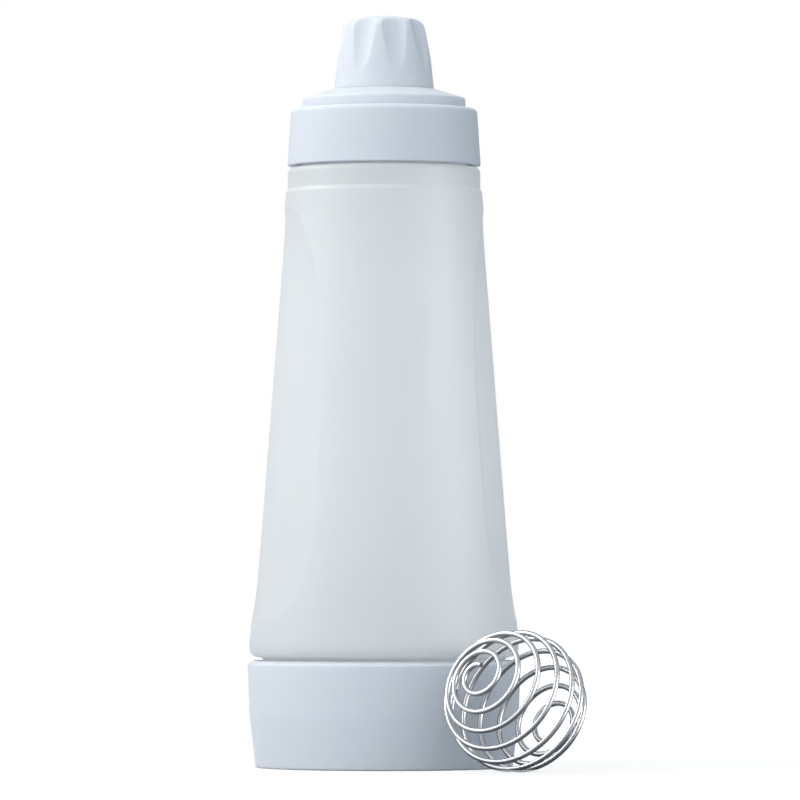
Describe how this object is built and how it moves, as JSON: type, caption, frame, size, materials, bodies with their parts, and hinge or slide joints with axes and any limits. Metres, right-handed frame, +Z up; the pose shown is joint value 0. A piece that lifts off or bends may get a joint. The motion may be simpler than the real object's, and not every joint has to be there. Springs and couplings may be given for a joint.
{
  "type": "batter dispenser",
  "caption": "Tapered squeeze bottle for mixing and pouring batter, with a fluted twist cap, a screw lid collar, a screw-on base cap and a loose wire mixing ball beside it.",
  "frame": {"origin": "centre of the base cap's flat underside, on the surface that the dispenser stands on", "axes": "+Z up along the bottle, -Y towards the picture's viewer, +X to the viewer's right"},
  "size_m": [0.1156, 0.1317, 0.26],
  "materials": {
    "blue_plastic": "satin pale blue moulded plastic",
    "frosted_plastic": "frosted milky translucent squeeze plastic",
    "seal_silicone": "soft milky silicone",
    "steel_wire": "bright polished stainless wire"
  },
  "bodies": {
    "base": {"base_cap": "blue_plastic"},
    "base_seal": {"base_gasket": "seal_silicone"},
    "bottle": {"bottle": "frosted_plastic"},
    "spout": {"spout_dome": "blue_plastic", "nozzle": "seal_silicone", "nozzle_retainer": "blue_plastic", "lid_gasket": "seal_silicone"},
    "collar": {"lid_collar": "blue_plastic"},
    "liner": {"cap_liner": "seal_silicone"},
    "cap": {"twist_cap": "blue_plastic"},
    "whisk": {"whisk_ball": "steel_wire"}
  },
  "joints": [
    {"name": "bottle_turn", "type": "hinge", "parent": "base", "child": "base_seal", "pos_m": [0, 0, 0.03], "axis": [0, 0, 1], "range_deg": [0, 540]},
    {"name": "bottle_rise", "type": "slide", "parent": "base_seal", "child": "bottle", "axis": [0, 0, 1], "range_m": [0, 0.01351]},
    {"name": "lid_rise", "type": "slide", "parent": "bottle", "child": "spout", "axis": [0, 0, 1], "range_m": [0, 0.01351]},
    {"name": "lid_turn", "type": "hinge", "parent": "spout", "child": "collar", "pos_m": [0, 0, 0.218], "axis": [0, 0, 1], "range_deg": [0, 540]},
    {"name": "cap_rise", "type": "slide", "parent": "spout", "child": "liner", "axis": [0, 0, 1], "range_m": [0, 0.01201]},
    {"name": "cap_turn", "type": "hinge", "parent": "liner", "child": "cap", "pos_m": [0, 0, 0.245], "axis": [0, 0, 1], "range_deg": [0, 720]},
    {"name": "whisk_lift", "type": "slide", "parent": "base", "child": "whisk", "axis": [0, 0, 1], "range_m": [0, 0.27]}
  ],
  "couplings": [
    {"joint": "bottle_rise", "follows": "bottle_turn", "m_per_rad": 0.0014324},
    {"joint": "lid_rise", "follows": "lid_turn", "m_per_rad": 0.0014324},
    {"joint": "cap_rise", "follows": "cap_turn", "m_per_rad": 0.00095493}
  ]
}
